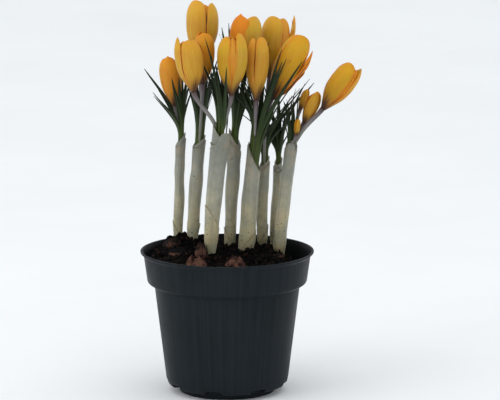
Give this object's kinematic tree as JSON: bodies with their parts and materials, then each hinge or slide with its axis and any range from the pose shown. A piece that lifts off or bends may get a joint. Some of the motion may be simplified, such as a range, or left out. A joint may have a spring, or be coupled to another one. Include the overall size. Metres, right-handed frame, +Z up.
{
  "type": "potted crocus",
  "caption": "Yellow garden crocus in bloom in a dark round plastic pot of peat, with pale papery sheaths and narrow green leaves.",
  "frame": {"origin": "centre of the pot's flat foot, on the surface it stands on", "axes": "+Z up along the pot's axis, -Y towards the viewer, +X to the viewer's right"},
  "size_m": [0.1529, 0.12, 0.2695],
  "materials": {
    "pot": "satin",
    "soil": "matt, crumbly",
    "corm": "matt, fibrous",
    "sheath": "matt, papery",
    "leaf": "satin",
    "tube": "satin",
    "bloom": "satin"
  },
  "bodies": {
    "root": {"pot": "pot", "soil": "soil", "corm_1": "corm", "corm_2": "corm", "corm_3": "corm", "corm_4": "corm", "corm_5": "corm", "corm_6": "corm", "sheath_1": "sheath", "sheath_2": "sheath", "sheath_3": "sheath", "sheath_4": "sheath", "sheath_5": "sheath", "sheath_6": "sheath", "sheath_7": "sheath", "sheath_8": "sheath", "tube_1": "tube", "tube_2": "tube", "tube_3": "tube", "tube_4": "tube", "tube_5": "tube", "tube_6": "tube", "tube_7": "tube", "tube_8": "tube", "tube_9": "tube", "tube_10": "tube", "tube_11": "tube", "tube_12": "tube", "tube_13": "tube", "bloom_1": "bloom", "bloom_2": "bloom", "bloom_3": "bloom", "bloom_4": "bloom", "bloom_5": "bloom", "bloom_6": "bloom", "bloom_7": "bloom", "bloom_8": "bloom", "bloom_9": "bloom", "bloom_10": "bloom", "bloom_11": "bloom", "bloom_12": "bloom", "bloom_13": "bloom", "leaves_1": "leaf", "leaves_2": "leaf", "leaves_3": "leaf", "leaves_4": "leaf", "leaves_5": "leaf", "leaves_6": "leaf", "leaves_7": "leaf", "leaves_8": "leaf"}
  },
  "joints": []
}
